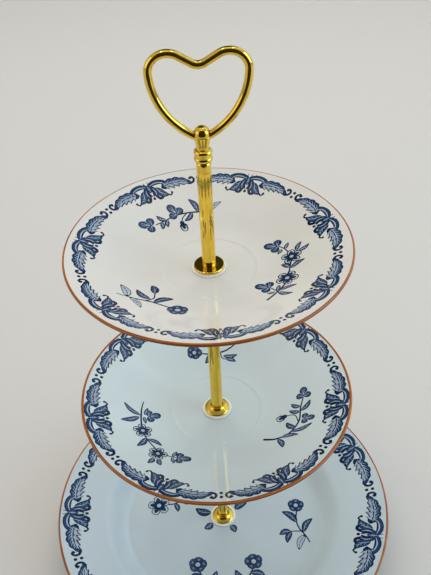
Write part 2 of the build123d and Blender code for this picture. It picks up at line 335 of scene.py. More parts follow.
def glaze(name, colour, shade, worn_radius):
    """Clear glaze on a white body: faint clouding, pinholes, knife marks inside worn_radius, orange peel."""
    m = Finish(name)
    cloud = m.ramp(m.noise(16, 4), (0.3, 0.0), (0.7, 1.0))
    body = m.mix(cloud, shade, colour)
    pinhole = m.ramp(m.cells(95), (0.0, 1.0), (0.018, 1.0), (0.03, 0.0))
    rare = m.ramp(m.noise(31, 1), (0.66, 0.0), (0.68, 1.0))
    speck = m.math("MULTIPLY", pinhole, rare)
    m.colour(m.mix(speck, body, (0.11, 0.09, 0.07)))
    radius, _, _ = m.polar()
    worn = m.ramp(m.math("DIVIDE", radius, worn_radius), (0.75, 1.0), (1.0, 0.0))
    scratch = m.ramp(m.noise(260, 2, stretch=(1, 0.03, 1), distortion=0.4), (0.62, 0.0), (0.7, 1.0))
    marks = m.math("MULTIPLY", m.math("MULTIPLY", scratch, worn), 0.10)
    m.roughness(m.math("ADD", m.ramp(m.noise(45, 3), (0.3, 0.018), (0.7, 0.05)), marks))
    m.set(IOR=1.5)
    m.bump((m.noise(130, 2), 0.06, 0.0004), (speck, -0.4, 0.0002))
    return m.material


def underglaze(name, dense, thin):
    """Painted oxide under the glaze, where the colour pools in some places and thins in others."""
    m = Finish(name)
    pool = m.ramp(m.noise(220, 4), (0.32, 0.0), (0.68, 1.0))
    fine = m.ramp(m.noise(900, 2), (0.35, 0.0), (0.7, 1.0))
    m.colour(m.mix(m.math("MULTIPLY", m.math("ADD", pool, fine), 0.5), dense, thin))
    m.roughness(m.ramp(m.noise(45, 3), (0.3, 0.02), (0.7, 0.055)))
    m.set(IOR=1.5)
    m.bump((m.noise(130, 2), 0.06, 0.0004))
    return m.material


def rim_paint():
    """Rust-brown line brushed round the lip while the plate turns: streaks run with the rim. Its sides and
    underside are painted darker as shade.
    """
    m = Finish("rust_rim")
    radius, angle, z = m.polar()
    along, across, down = (m.math("MULTIPLY", a, b) for a, b in ((angle, 1.6), (radius, 2200), (z, 1500)))
    streaks = m.new("CombineXYZ", {"X": along, "Y": across, "Z": down}).outputs["Vector"]
    brush = m.new("TexNoise", {"Vector": streaks, "Scale": 1.0, "Detail": 3}).outputs["Fac"]
    rust = ((0.3, (0.15, 0.036, 0.005)), (0.55, (0.37, 0.105, 0.009)), (0.75, (0.52, 0.185, 0.022)))
    tone = m.ramp(brush, *rust)
    thin = m.ramp(m.noise(60, 3), (0.55, 0.0), (0.8, 0.5))
    # Painted shade: where the normal turns away from up, on the lip's side and underside, the colour is
    # darkened to deep brown.
    normal = m.new("NewGeometry").outputs["Normal"]
    upward = m.new("SeparateXYZ", {"Vector": normal}).outputs["Z"]
    side_shade = m.ramp(upward, (0.1, 0.75), (0.8, 0.0))
    m.colour(m.mix(side_shade, m.mix(thin, tone, (0.56, 0.26, 0.06)), (0.095, 0.021, 0.004)))
    m.roughness(m.ramp(m.noise(150, 3), (0.3, 0.06), (0.7, 0.16)))
    m.set(IOR=1.5)
    m.bump((brush, 0.15, 0.0001), (m.noise(200, 2), 0.08, 0.0003))
    return m.material


def bisque():
    """Bare fired clay of the foot rings, rubbed grey where it has stood."""
    m = Finish("bare_foot_clay")
    tone = m.ramp(m.noise(400, 5), (0.3, (0.52, 0.46, 0.38)), (0.7, (0.72, 0.67, 0.59)))
    grime = m.ramp(m.noise(70, 4), (0.5, 0.0), (0.8, 0.7))
    m.colour(m.mix(grime, tone, (0.36, 0.33, 0.29)))
    m.roughness(m.ramp(m.noise(600, 3), (0.3, 0.7), (0.7, 0.92)))
    m.bump((m.noise(1800, 4), 0.35, 0.0002))
    return m.material


def gilt(name, stretch=(1, 1, 0.02), relief=0.03):
    """Polished gold plate on brass: draw or turning lines along stretch, which also darken the gold as
    painted reflection streaks, cloudy handling marks, hairlines.
    """
    m = Finish(name)
    warm = m.ramp(m.noise(85, 4), (0.3, 0.0), (0.75, 1.0))
    tone = m.mix(warm, (0.86, 0.56, 0.07), (0.94, 0.66, 0.10))
    lines = m.noise(700, 3, stretch=stretch)
    # Darker gold along the lines: partly real draw or turning marks, partly painted dark reflection streaks.
    tone = m.mix(m.ramp(lines, (0.52, 0.0), (0.68, 0.55)), tone, (0.62, 0.37, 0.035))
    tarnish = m.ramp(m.noise(210, 5), (0.6, 0.0), (0.78, 0.5))
    m.colour(m.mix(tarnish, tone, (0.58, 0.34, 0.05)))
    smudge = m.ramp(m.noise(120, 4), (0.35, 0.04), (0.75, 0.13))
    m.roughness(m.math("ADD", smudge, m.ramp(lines, (0.6, 0.0), (0.72, 0.06))))
    m.set(Metallic=1.0)
    m.bump((lines, relief, 0.0002), (m.noise(260, 3), 0.05, 0.0003))
    return m.material


def zinc():
    """Bright zinc plate with turning marks, dulled in patches."""
    m = Finish("zinc_plate")
    m.colour(m.ramp(m.noise(500, 4), (0.3, (0.55, 0.54, 0.49)), (0.7, (0.76, 0.74, 0.68))))
    m.roughness(m.ramp(m.noise(240, 4), (0.3, 0.2), (0.75, 0.42)))
    m.set(Metallic=1.0)
    radius, _, z = m.polar()
    turned = m.math("SINE", m.math("MULTIPLY", m.math("ADD", radius, z), 42000))
    m.bump((turned, 0.06, 0.00005), (m.noise(1400, 3), 0.12, 0.0001))
    return m.material


def nylon():
    """Smooth moulded plastic with faint flow clouding and scuffs."""
    m = Finish("white_nylon")
    m.colour(m.ramp(m.noise(300, 4), (0.3, (0.86, 0.85, 0.83)), (0.7, (0.93, 0.92, 0.90))))
    m.roughness(m.ramp(m.noise(800, 3), (0.3, 0.28), (0.75, 0.46)))
    m.set(IOR=1.53, Subsurface_Weight=0.12, Subsurface_Scale=0.001)
    m.bump((m.noise(2200, 3), 0.08, 0.0001))
    return m.material


GLAZES = {
    node: (glaze(slot, colour, shade, worn_radius), slot)
    for node, slot, colour, shade, worn_radius in (
        ("top_plate", "ivory_glaze", (0.69, 0.68, 0.645), (0.64, 0.63, 0.60), 0.048),
        ("middle_plate", "grey_blue_glaze", (0.62, 0.70, 0.722), (0.575, 0.66, 0.69), 0.052),
        ("bottom_plate", "blue_glaze", (0.50, 0.58, 0.62), (0.46, 0.54, 0.595), 0.08),
    )
}
INK = underglaze("cobalt_dark", (0.0045, 0.011, 0.036), (0.010, 0.026, 0.080))
WASH = underglaze("cobalt_wash", (0.009, 0.031, 0.094), (0.023, 0.066, 0.162))
TINT = underglaze("cobalt_tint", (0.30, 0.38, 0.48), (0.50, 0.56, 0.62))
RIM = rim_paint()
CLAY = bisque()
GILT = gilt("gilt_drawn", stretch=(1, 1, 0.007), relief=0.022)
GILT_TURNED = gilt("gilt_turned", stretch=(0.05, 0.05, 3), relief=0.012)
GILT_WIRE = gilt("gilt_wire", stretch=(0.3, 1, 0.3), relief=0.012)
ZINC = zinc()
NYLON = nylon()


# ================================================================ plates
def lip_points(plate, start, end, steps, proud=0.0):
    """The rounded lip, from its upper face (90 degrees) over the edge to its underside (-90)."""
    root = plate.radius - LIP_REACH
    high, low = float(plate.top(root)), float(plate.underside(root))
    slope = (float(plate.top(plate.radius)) - high) / LIP_REACH
    middle = np.array([root, (high + low) / 2])
    out = np.array([1.0, slope * 0.6])
    up = np.array([0.0, (high - low) / 2])
    turns = np.radians(np.linspace(start, end, steps + 1))[:, None]
    reach = LIP_REACH + proud
    grow = 1 + proud / ((high - low) / 2)
    return middle + reach * np.cos(turns) * out + grow * np.sin(turns) * up


def plate_profile(plate):
    """Closed section of a plate and how many of its points, at the foot, are left unglazed."""
    well, floor = plate.well_z, plate.foot_z + plate.recess
    root = plate.radius - LIP_REACH
    mouth = arc((HOLE_RADIUS + HOLE_ROUND, well - HOLE_ROUND), HOLE_ROUND, 180, 90, 4)
    radii = np.concatenate([
        np.linspace(FLAT_FROM, plate.ring_radius, 8),
        np.linspace(plate.ring_radius, plate.ring_radius + RING_WIDTH, 9)[1:],
        np.linspace(plate.ring_radius + RING_WIDTH, root, 60)[1:-1],
    ])
    upper = np.column_stack([radii, plate.top(radii)])
    under = np.linspace(root, plate.foot + FOOT_FLARE, 44)[1:]
    lower = np.column_stack([under, plate.underside(under)])
    foot_out = float(plate.underside(plate.foot))
    outer_wall = [(plate.foot + 0.35, foot_out - 0.1), (plate.foot, foot_out - 0.7)]
    round_out = arc((plate.foot - FOOT_ROUND, plate.foot_z + FOOT_ROUND), FOOT_ROUND, 0, -90, 5)
    inner = plate.foot - FOOT_WIDTH
    round_in = arc((inner + FOOT_ROUND, plate.foot_z + FOOT_ROUND), FOOT_ROUND, -90, -180, 5)
    hollow = arc((inner - HOLLOW_ROUND, floor - HOLLOW_ROUND), HOLLOW_ROUND, 0, 90, 4)
    back = [(r, floor) for r in np.linspace(inner - 2 * HOLLOW_ROUND, FLAT_FROM, 8)]
    exit_round = arc((HOLE_RADIUS + HOLE_ROUND, floor + HOLE_ROUND), HOLE_ROUND, -90, -180, 4)
    before = [mouth, upper, lip_points(plate, 90, -90, 16), lower, outer_wall]
    bare_from = sum(len(part) for part in before)
    bare = [round_out, round_in]
    profile = np.vstack([*before, *bare, hollow, back, exit_round])
    return profile, bare_from, bare_from + len(round_out) + len(round_in) - 1


def make_plate(plate):
    profile, bare_from, bare_to = plate_profile(plate)
    piece = revolve(plate.node + "_glazed", profile, PLATE_SEGMENTS, plate.sag, smooth_angle=50)
    material, slot = GLAZES[plate.node]
    dress(piece, material, plate.node, slot, plate.node)
    piece.data.materials.append(CLAY)
    for k in range(bare_from * PLATE_SEGMENTS, bare_to * PLATE_SEGMENTS):
        piece.data.polygons[k].material_index = 1


RIM_WANDER, RIM_RIPPLE = 0.22, 0.08


def make_rim(plate, seed, reach):
    """The painted line: a thin skin from reach inside the edge, over the lip, with hand-painted edges."""
    steps, skin, depth = 14, RIM_BAND - 0.01, 0.06
    angles = np.arange(PLATE_SEGMENTS) * 2 * math.pi / PLATE_SEGMENTS
    vertices = []
    for a in angles:
        wander = noise.noise(Vector((3 * math.cos(a), 3 * math.sin(a), seed)))
        ripple = noise.noise(Vector((14 * math.cos(a), 14 * math.sin(a), seed)))
        painted_from = plate.radius - reach - RIM_WANDER * wander - RIM_RIPPLE * ripple
        inside = np.linspace(painted_from, plate.radius - LIP_REACH - 0.02, 4)
        flat = np.column_stack([inside, plate.top(inside)])
        under = -80 + 9 * wander
        outer = np.vstack([flat + (0, skin), lip_points(plate, 90, under, steps, skin)])
        inner = np.vstack([flat - (0, depth), lip_points(plate, 90, under, steps, -depth)])[::-1]
        for r, z in np.vstack([outer, inner]):
            vertices.append((r * math.cos(a), r * math.sin(a), z - float(plate.sag(r, a))))
    faces = tube_faces(PLATE_SEGMENTS, len(vertices) // PLATE_SEGMENTS, closed=True)
    piece = mesh_object(plate.node + "_rim_line", vertices, faces, 60)
    dress(piece, RIM, plate.node, "rust_rim_line")


# ================================================================ painted decoration
# Every brush stroke is a ribbon: rows of points across a centre line. Strokes are drawn flat, in
# millimetres, and then laid on a plate's upper face as thin closed skins.
LIFT = {"ink": 0.022, "wash": 0.036, "tint": 0.046, "line": 0.056, "eye": 0.066}
SKIN_DEPTH = 0.03
STAGGER = 0.0014
STAGGER_STEPS = 7
COLUMN_WIDTH = 1.1
PETALS = 5
PETAL_LINE = 0.29
STEM_WEIGHT = 1.3


def span(base, tip):
    """Two points as arrays, the way between them, and the unit direction to the left of it."""
    base, tip = np.asarray(base, float), np.asarray(tip, float)
    reach = tip - base
    return base, tip, reach, np.array([-reach[1], reach[0]]) / np.hypot(*reach)


class Drawing:
    """A list of (layer, grid of points) strokes."""

    def __init__(self):
        self.strokes = []

    def ribbon(self, layer, line, left, right=None, caps=True):
        """A stroke along line with these half widths; round ends unless caps is off."""
        right = left if right is None else right
        along = np.gradient(line, axis=0)
        along /= np.linalg.norm(along, axis=1)[:, None] + 1e-12
        if caps:
            line, left, right, along = rounded_ends(line, left, right, along)
        across = np.column_stack([-along[:, 1], along[:, 0]])
        columns = 1 + int(max(left + right) / COLUMN_WIDTH)
        share = np.linspace(0, 1, columns + 1)[None, :, None]
        a = line + across * left[:, None]
        b = line - across * right[:, None]
        self.strokes.append((layer, a[:, None] * (1 - share) + b[:, None] * share))

    def stroke(self, layer, points, widths, count=20):
        """A smooth stroke through points, whose half width passes through widths."""
        line = smooth_curve(points, count)
        stations = np.linspace(0, 1, len(widths))
        self.ribbon(layer, line, np.interp(np.linspace(0, 1, count), stations, widths))

    def stem(self, points, widths, count=20):
        """A dark stalk, drawn a little heavier than its stated half widths."""
        self.stroke("ink", points, STEM_WEIGHT * np.asarray(widths), count)

    def dot(self, layer, centre, radius):
        self.ribbon(layer, np.array([centre, np.add(centre, (0.02, 0))]), np.full(2, radius))

    def leaf(self, base, tip, width, bow=0.0, veins=2, open_form=False):
        """A pointed leaf: dark outline, lighter fill, midrib and side veins; an open one is left pale."""
        base, tip = np.asarray(base, float), np.asarray(tip, float)
        reach = tip - base
        side = np.array([-reach[1], reach[0]])
        line = smooth_curve([base, (base + tip) / 2 + bow * side, tip], 17)
        t = np.linspace(0, 1, len(line))
        outline = width / 2 * np.sin(math.pi * t**0.85) ** 0.8 + 0.1
        self.ribbon("ink", line, outline, caps=False)
        inset = max(0.2, 0.1 * width)
        body = np.clip(outline[2:-2] - inset, 0.03, None)
        self.ribbon("tint" if open_form else "wash", line[2:-2], body, caps=False)
        vein = "line" if open_form else "eye"
        self.stroke(vein, line[1:-3], [0.14, 0.13, 0.07], 13)
        for k in range(veins):
            start = line[4 + 3 * k]
            for turn in (1, -1):
                spread = turn * 0.6 * (outline[6 + 3 * k] - inset)
                end = start + 0.17 * reach + spread * side / np.hypot(*side)
                self.stroke(vein, [start, end], [0.1, 0.05], 3)

    def trefoil(self, centre, direction, size):
        """Three round lobes with pale veins, and pale gaps between them."""
        centre = np.asarray(centre, float)
        way = np.asarray(direction, float) / np.hypot(*direction)
        side = np.array([-way[1], way[0]])
        for turn in (1, -1):
            start = centre + size * 0.04 * way
            self.lobe(start, start + size * (0.22 * way + turn * 0.78 * side), 0.74 * size, veins=2)
        self.lobe(centre + 0.12 * size * way, centre + 1.3 * size * way, 0.8 * size, veins=3)
        for turn in (1, -1):
            inner = centre + size * (0.3 * way + turn * 0.16 * side)
            outer = centre + size * (0.62 * way + turn * 0.4 * side)
            self.stroke("eye", [inner, outer], [0.1, 0.2], 5)

    def lobe(self, base, tip, width, veins=1, vein_from=0.1):
        """A round lobe: dark outline, lighter fill and pale veins fanned up it."""
        base, tip, reach, side = span(base, tip)
        line = smooth_curve([base, (base + tip) / 2, tip], 15)
        t = np.linspace(0, 1, len(line))
        shape = width / 2 * np.sqrt(np.clip(1 - (2 * t**1.15 - 1) ** 2, 0, 1)) + 0.05
        self.ribbon("ink", line, shape, caps=False)
        inset = max(0.24, 0.09 * width)
        self.ribbon("wash", line[1:-1], np.clip(shape[1:-1] - inset, 0.03, None), caps=False)
        for lean in np.linspace(-1, 1, veins + 2)[1:-1]:
            start = base + vein_from * reach + lean * 0.05 * width * side
            end = base + 0.76 * reach + lean * 0.42 * width * side
            self.stroke("eye", [start, end], [0.15, 0.07], 6)

    def petal(self, base, tip, width):
        """A petal left pale at its edge: outline, a blue wedge from its base and three fine veins."""
        base, tip, reach, side = span(base, tip)
        turns = np.radians(np.linspace(-160, 160, 25))
        stretch = 0.5 + 0.5 * np.cos(turns)
        bulge = 0.5 * width * np.sin(turns) * (0.55 + 0.45 * stretch)
        line = base + np.outer(stretch, reach) + np.outer(bulge, side)
        self.ribbon("ink", line, np.full(len(line), PETAL_LINE))
        wedge = [base - 0.1 * reach, base + 0.3 * reach, base + 0.66 * reach]
        self.stroke("wash", wedge, [0.2 * width, 0.3 * width, 0.14 * width], 9)
        for lean in (-0.3, 0, 0.3):
            end = base + 0.8 * reach + lean * width * side
            self.stroke("line", [base + 0.1 * reach, end], [0.17, 0.07], 5)

    def flower(self, centre, radius, turn=0.0):
        """An open flower: pale outlined petals, a dark throat and a pale eye."""
        centre = np.asarray(centre, float)
        for k in range(PETALS):
            angle = turn + 2 * math.pi * k / PETALS
            way = np.array([math.cos(angle), math.sin(angle)])
            self.petal(centre + 0.2 * radius * way, centre + radius * way, 0.92 * radius)
        self.dot("line", centre, 0.4 * radius)
        self.dot("eye", centre, 0.2 * radius)

    def round_flower(self, centre, radius, turn=0.0):
        """A flower seen side on: overlapping dark petals parted by pale lines round a pale eye."""
        centre = np.asarray(centre, float)
        for k in range(PETALS):
            angle = turn + 2 * math.pi * k / PETALS
            way = np.array([math.cos(angle), 0.88 * math.sin(angle)])
            self.lobe(centre + 0.1 * radius * way, centre + radius * way, 0.95 * radius, 2, 0.5)
            half = angle + math.pi / PETALS
            gap = np.array([math.cos(half), 0.88 * math.sin(half)])
            self.stroke("line", [centre + 0.3 * radius * gap, centre + 0.72 * radius * gap], [0.2, 0.12], 5)
        self.dot("line", centre, 0.4 * radius)
        self.dot("eye", centre, 0.25 * radius)

    def bud(self, base, tip, width):
        """A closed bud: a pale petal held by two dark sepals."""
        base, tip, reach, side = span(base, tip)
        self.petal(base, tip, width)
        self.stroke("wash", [base, base + 0.5 * reach], [0.3 * width, 0.18 * width], 7)
        for turn in (1, -1):
            mid = base + 0.35 * reach + turn * 0.42 * width * side
            end = base + 0.72 * reach + turn * 0.30 * width * side
            self.stroke("line", [base, mid, end], [0.34, 0.38, 0.08], 8)

    def moved(self, how, flip=False):
        """A copy with every point passed through how; a mirrored copy keeps its faces' direction."""
        copy = Drawing()
        for layer, grid in self.strokes:
            placed = how(grid)
            copy.strokes.append((layer, placed[:, ::-1] if flip else placed))
        return copy

    def add(self, other):
        self.strokes += other.strokes
        return self


def rounded_ends(line, left, right, along):
    """Adds rows to a stroke so that both its ends are half round."""
    turns = np.radians([12, 36, 60, 80])
    rows = []
    for end, way, order in ((0, -1, slice(None, None, -1)), (-1, 1, slice(None))):
        size = (left[end] + right[end]) / 2
        reach, spread = np.sin(turns)[order], np.cos(turns)[order]
        points = line[end] + way * along[end] * (size * reach)[:, None]
        rows.append((points, left[end] * spread, right[end] * spread, np.tile(along[end], (4, 1))))
    a, b = rows
    return tuple(np.concatenate([a[k], whole, b[k]]) for k, whole in enumerate((line, left, right, along)))


def border_half():
    """Half of one border repeat: x runs along the rim from its middle, y out from the band's edge."""
    d = Drawing()
    # Acanthus leaf: scalloped outer side, toothed inner side, pale midrib and hatching.
    spine = [(8.2, -5.2), (11.8, -3.9), (16.6, -3.4), (21.2, -3.9), (24.8, -5.2), (27.0, -6.6)]
    line = smooth_curve(spine, 81)
    t = np.linspace(0, 1, len(line))
    swell = np.sin(math.pi * t**0.9) ** 0.55
    outer = 3.1 * swell * (0.80 + 0.24 * np.abs(np.sin(5 * math.pi * t))) * (1 - 0.35 * t**2) + 0.25
    inner = 5.4 * swell * (0.62 + 0.50 * ((5 * t) % 1.0) ** 1.2) * (1 - 0.55 * t) + 0.25
    d.ribbon("ink", line, outer, inner, caps=False)
    along = np.gradient(line, axis=0)
    inward = np.column_stack([along[:, 1], -along[:, 0]]) / np.linalg.norm(along, axis=1)[:, None]
    fill = slice(4, -5)
    fill_outer = np.clip(outer[fill] - 0.5, 0.05, None)
    fill_inner = np.clip(inner[fill] - 0.55, 0.05, None)
    d.ribbon("wash", line[fill], fill_outer, fill_inner, caps=False)
    d.stroke("tint", line[6:72:6], [0.12, 0.24, 0.2, 0.08], 30)
    for k in range(8, 66, 3):
        start = line[k] + inward[k] * 0.3 * inner[k]
        end = line[k + 4] + inward[k + 4] * (inner[k + 4] - 0.75)
        d.stroke("tint", [start, end], [0.26, 0.14], 5)
    for k in range(8, 64, 8):
        end = line[k + 8] - inward[k + 8] * 0.62 * outer[k + 8]
        d.stroke("tint", [line[k] - inward[k] * 0.3, end], [0.16, 0.06], 7)
    # Hook at the leaf's tip, beside the dots.
    hook = [(25.4, -5.9), (27.8, -5.6), (28.5, -3.6), (27.3, -2.0), (25.9, -2.5)]
    d.stroke("ink", hook, [0.8, 0.75, 0.7, 0.6, 0.6], 20)
    d.dot("ink", (26.3, -2.8), 0.85)
    # Volute that springs from the ornament's middle and curls over the leaf's root.
    volute = [(-0.3, -3.4), (2.2, -1.5), (6.0, -0.9), (9.8, -1.8), (11.6, -4.2), (10.3, -6.3), (8.3, -5.6)]
    d.stroke("ink", volute, [1.0, 1.5, 1.75, 1.6, 1.3, 1.0, 0.8], 34)
    d.stroke("wash", volute[:5], [0.5, 1.0, 1.2, 1.0, 0.6], 24)
    d.stroke("tint", [(1.4, -2.3), (4.8, -1.3), (8.6, -1.9), (10.6, -4.0)], [0.14, 0.3, 0.26, 0.1], 14)
    d.dot("ink", (8.9, -5.2), 1.1)
    # A pendant scroll that ends in a bead, and a small leaf beside it.
    scroll = [(0.3, -3.0), (2.3, -4.4), (3.0, -7.0), (2.5, -9.4), (3.6, -11.8), (5.6, -11.9)]
    d.stroke("ink", scroll, [1.1, 1.45, 1.35, 1.0, 0.8], 30)
    d.stroke("wash", scroll[:4], [0.6, 0.9, 0.8, 0.4], 20)
    d.stroke("tint", scroll[1:4], [0.1, 0.26, 0.1], 12)
    d.dot("ink", (5.9, -11.3), 1.0)
    d.leaf((4.2, -4.4), (10.6, -11.4), 4.8, -0.16, 3)
    d.stroke("ink", [(9.8, -10.4), (11.6, -11.6), (13.0, -10.6)], [0.4, 0.5, 0.45], 10)
    d.dot("ink", (12.9, -10.1), 0.8)
    # Tongue in the middle, and rays on the outer side.
    d.stroke("ink", [(1.2, -5.6), (1.5, -7.4), (0.7, -9.2)], [0.5, 0.75, 0.5], 10)
    for x, lean in ((0.9, 0.3), (2.7, 0.9)):
        d.stroke("ink", [(x, -1.6), (x + lean, 0.8)], [0.26, 0.18], 4)
    return d


def border_unit(half_length):
    """One repeat: two mirrored halves, the middle bead and the pair of dots that ends it."""
    half = border_half()
    unit = Drawing().add(half)
    unit.add(half.moved(lambda grid: grid * np.array([-1, 1]), flip=True))
    unit.leaf((0, -1.6), (0, -7.0), 2.6)
    unit.dot("ink", (0, -11.0), 0.95)
    unit.dot("ink", (half_length, -2.8), 0.9)
    unit.dot("ink", (half_length, -5.8), 0.9)
    return unit


BORDER_HALF_LENGTH = 31.0


def border(plate, repeats, dots_at, depth_scale, edge_share):
    """The border laid round a plate, with a pair of dots at the angle dots_at in degrees."""
    edge = plate.rim_radius * edge_share
    step = 2 * math.pi / repeats
    unit = border_unit(BORDER_HALF_LENGTH)
    whole = Drawing()
    for k in range(repeats):
        middle = math.radians(dots_at) + (k + 0.5) * step

        def lay(grid, middle=middle):
            angle = middle - grid[..., 0] / BORDER_HALF_LENGTH * step / 2
            r = edge + grid[..., 1] * depth_scale
            return np.stack([r * np.cos(angle), r * np.sin(angle)], axis=-1)

        whole.add(unit.moved(lay))
    return whole


def top_sprigs():
    d = Drawing()
    # Back left: a long stem with two trefoils and a hanging bud.
    stalk = [(-29.5, 36.2), (-24.5, 39.6), (-17.5, 44.4), (-9.0, 46.6), (1.5, 47.2)]
    d.stem(stalk, [0.22, 0.3, 0.34, 0.38, 0.45])
    d.stem([(-12.0, 45.6), (-14.2, 42.2), (-14.4, 38.8)], [0.25, 0.24, 0.2])
    d.trefoil((-31.5, 35.4), (-1.0, -0.15), 6.3)
    d.trefoil((-17.0, 44.8), (-0.75, 0.75), 6.3)
    d.leaf((-23.6, 40.2), (-29.4, 42.4), 2.6, 0.12)
    d.leaf((-22.8, 40.6), (-22.4, 35.6), 2.7, -0.1)
    d.leaf((-26.4, 38.4), (-25.6, 33.6), 2.7, 0.1)
    d.leaf((-8.4, 46.6), (-12.8, 40.6), 3.0, 0.12)
    d.leaf((-4.6, 47.0), (-10.4, 55.4), 3.4, -0.1)
    d.leaf((2.0, 47.0), (9.2, 52.6), 3.0, 0.12, open_form=True)
    d.bud((-14.4, 39.2), (-12.2, 33.4), 4.6)
    # Right: two open flowers one above the other between trefoils.
    stalk = [(28.6, -34.4), (34.2, -28.6), (39.4, -21.4), (42.6, -10.6), (44.8, -1.6)]
    d.stem(stalk, [0.5, 0.42, 0.35, 0.32, 0.3])
    d.flower((45.0, 0.2), 5.4, 0.3)
    d.flower((40.6, -17.6), 5.8, 0.9)
    d.trefoil((38.8, 11.8), (-0.95, 0.35), 6.3)
    d.stem([(39.4, 11.6), (42.0, 8.6), (43.6, 5.4)], [0.22, 0.24, 0.26], 10)
    d.leaf((42.2, 8.2), (44.6, 12.4), 2.2)
    d.leaf((40.8, 8.6), (38.0, 5.4), 2.0)
    d.leaf((48.0, 3.6), (51.4, 9.6), 2.6, 0.1)
    d.leaf((48.6, 3.0), (55.2, 5.6), 2.6, -0.1)
    d.leaf((43.0, -8.6), (38.8, -4.2), 3.4, -0.12)
    d.leaf((43.6, -9.6), (51.4, -5.4), 3.0, 0.1)
    d.trefoil((30.8, -22.4), (-0.9, 0.45), 6.3)
    d.stem([(31.2, -22.6), (33.4, -26.2), (34.6, -28.2)], [0.22, 0.24, 0.28], 8)
    d.leaf((34.4, -27.0), (36.0, -22.2), 2.2)
    d.leaf((33.2, -28.0), (29.0, -28.2), 2.0)
    d.leaf((35.4, -27.6), (44.6, -26.4), 2.6, 0.08)
    d.leaf((34.6, -28.8), (41.6, -33.6), 3.0, -0.12)
    # Front left: a low spray with buds and one side-on flower.
    stalk = [(-48.0, -27.6), (-40.0, -29.0), (-31.0, -30.2), (-23.6, -33.4), (-20.6, -35.0)]
    d.stem(stalk, [0.2, 0.3, 0.4, 0.36, 0.3])
    d.stem([(-33.8, -29.8), (-29.6, -26.4), (-29.2, -20.6)], [0.32, 0.28, 0.24], 12)
    d.leaf((-42.6, -28.4), (-46.8, -18.0), 4.4, -0.1, 3, open_form=True)
    d.leaf((-41.6, -28.6), (-35.4, -38.2), 3.2, 0.1, open_form=True)
    d.leaf((-31.4, -27.6), (-38.6, -19.8), 3.8, 0.12)
    d.leaf((-29.2, -21.6), (-31.0, -14.4), 4.4, -0.1)
    d.leaf((-29.6, -30.6), (-19.4, -26.0), 4.0, 0.14, 3)
    d.round_flower((-17.2, -37.0), 5.6, 0.4)
    return d


def middle_sprigs():
    d = Drawing()
    # Left: an upright stem with two flowers and trefoils to its right.
    stalk = [(-47.6, 5.0), (-48.6, -3.0), (-48.0, -14.6), (-45.2, -24.6), (-39.4, -33.4), (-35.4, -38.6)]
    d.stem(stalk, [0.25, 0.4, 0.4, 0.36, 0.34, 0.3], 28)
    d.leaf((-49.0, -6.6), (-59.4, 1.6), 3.0, 0.1)
    d.leaf((-49.6, -8.0), (-60.6, -13.6), 3.8, 0.08)
    d.trefoil((-44.2, -6.4), (0.95, 0.25), 6.3)
    d.leaf((-46.6, -5.6), (-44.6, 0.6), 2.2)
    d.leaf((-46.8, -7.4), (-45.4, -13.0), 2.2)
    d.flower((-47.0, -19.6), 5.6, 0.5)
    d.leaf((-44.8, -25.6), (-49.6, -34.4), 3.8, 0.1)
    d.leaf((-43.8, -26.4), (-35.0, -31.0), 3.0, 0.1)
    d.flower((-37.2, -38.8), 5.6, 1.2)
    d.leaf((-39.4, -43.4), (-42.6, -49.0), 3.4, 0.1)
    d.leaf((-36.2, -44.0), (-34.8, -50.0), 3.2, -0.1)
    d.stem([(-32.0, -39.6), (-28.6, -40.6), (-25.4, -41.2)], [0.26, 0.28, 0.26], 8)
    d.trefoil((-25.2, -41.2), (1.0, -0.1), 6.3)
    d.leaf((-28.6, -40.4), (-25.8, -35.2), 2.2)
    d.leaf((-28.8, -41.2), (-27.4, -47.0), 2.2)
    # Right: a branching spray that rises from a dark foot.
    stalk = [(28.0, -29.2), (35.0, -30.6), (43.4, -28.4), (50.4, -20.0), (52.6, -10.0), (55.4, -1.6)]
    d.stem(stalk, [0.65, 0.5, 0.45, 0.4, 0.34, 0.28], 30)
    d.stem([(50.0, -20.4), (48.6, -14.2), (43.4, -12.4), (41.0, -12.8)], [0.3, 0.26, 0.24, 0.22], 16)
    d.trefoil((55.8, -1.0), (0.1, 1.0), 6.0)
    d.leaf((52.8, -8.4), (47.4, -4.0), 3.0, 0.1)
    d.leaf((52.2, -12.4), (45.6, -9.0), 3.0, 0.1)
    d.leaf((52.6, -12.0), (59.4, -5.2), 3.2, -0.1)
    d.trefoil((53.2, -19.2), (0.9, -0.2), 5.4)
    d.bud((42.4, -12.8), (37.4, -14.8), 5.4)
    d.leaf((47.6, -25.2), (42.8, -18.4), 3.8, 0.12)
    d.leaf((44.6, -27.6), (57.8, -25.2), 3.2, -0.08, 3)
    d.leaf((38.2, -30.2), (48.6, -31.6), 3.2, 0.08)
    d.leaf((36.0, -31.2), (38.0, -40.0), 3.6, 0.1)
    # Back: partly behind the upper plate.
    d.stem([(-9.4, 46.4), (-2.0, 46.0), (8.0, 47.6), (16.0, 52.0)], [0.3, 0.42, 0.42, 0.3])
    d.round_flower((-13.6, 47.0), 5.4)
    d.leaf((-3.2, 45.6), (-6.4, 39.0), 3.4, 0.1)
    d.stem([(4.4, 46.4), (5.4, 42.6), (9.4, 40.8)], [0.26, 0.24, 0.2], 10)
    d.leaf((8.0, 41.4), (14.6, 38.8), 3.0, 0.1)
    d.leaf((6.2, 44.0), (16.0, 43.8), 3.0, -0.1)
    d.leaf((15.6, 51.6), (25.6, 52.4), 4.0, 0.12, 3, open_form=True)
    d.leaf((14.0, 51.4), (17.0, 60.0), 3.4, 0.1)
    d.leaf((0.0, 46.4), (-3.0, 54.4), 3.4, -0.1)
    return d


